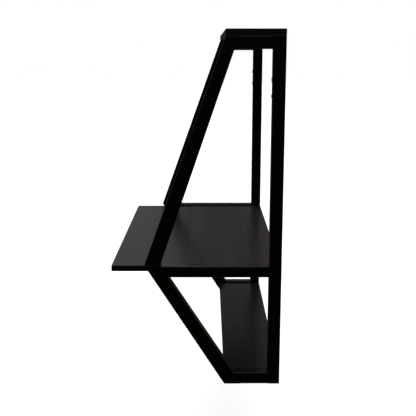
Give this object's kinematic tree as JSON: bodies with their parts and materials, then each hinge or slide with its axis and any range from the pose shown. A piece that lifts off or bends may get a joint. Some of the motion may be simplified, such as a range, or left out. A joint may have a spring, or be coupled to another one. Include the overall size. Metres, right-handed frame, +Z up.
{
  "type": "wall desk",
  "caption": "Wall-hung desk: open side frames with slanted legs and struts carry a deep desk board, a narrow top board and a narrow bottom shelf, in dark stained wood.",
  "frame": {"origin": "on the wall plane, at the middle of the wall fixing holes, half-way up the side frames", "axes": "+X along the wall to the right of a person at the desk, +Y into the wall, +Z up"},
  "size_m": [1, 0.55, 1.143],
  "materials": {
    "frame_wood": "satin, near-black stain",
    "board_veneer": "satin, near-black stain",
    "dowel_wood": "plain turned beech",
    "fitting_steel": "zinc plated",
    "cap_plastic": "moulded"
  },
  "bodies": {
    "root": {"rear_post_left": "frame_wood", "lower_strut_left": "frame_wood", "upper_leg_left": "frame_wood", "bottom_rail_left": "frame_wood", "desk_rail_left": "frame_wood", "top_rail_left": "frame_wood", "rear_post_right": "frame_wood", "lower_strut_right": "frame_wood", "upper_leg_right": "frame_wood", "bottom_rail_right": "frame_wood", "desk_rail_right": "frame_wood", "top_rail_right": "frame_wood", "top_board": "board_veneer", "desk_board": "board_veneer", "bottom_shelf": "board_veneer", "frame_dowels_left": "dowel_wood", "frame_dowels_right": "dowel_wood", "desk_dowels": "dowel_wood", "shelf_dowels": "dowel_wood", "desk_cam_bolts": "fitting_steel", "desk_cam_nuts": "fitting_steel", "shelf_cam_bolts": "fitting_steel", "shelf_cam_nuts": "fitting_steel", "top_board_screws": "fitting_steel", "wall_hole_caps": "cap_plastic"}
  },
  "joints": []
}
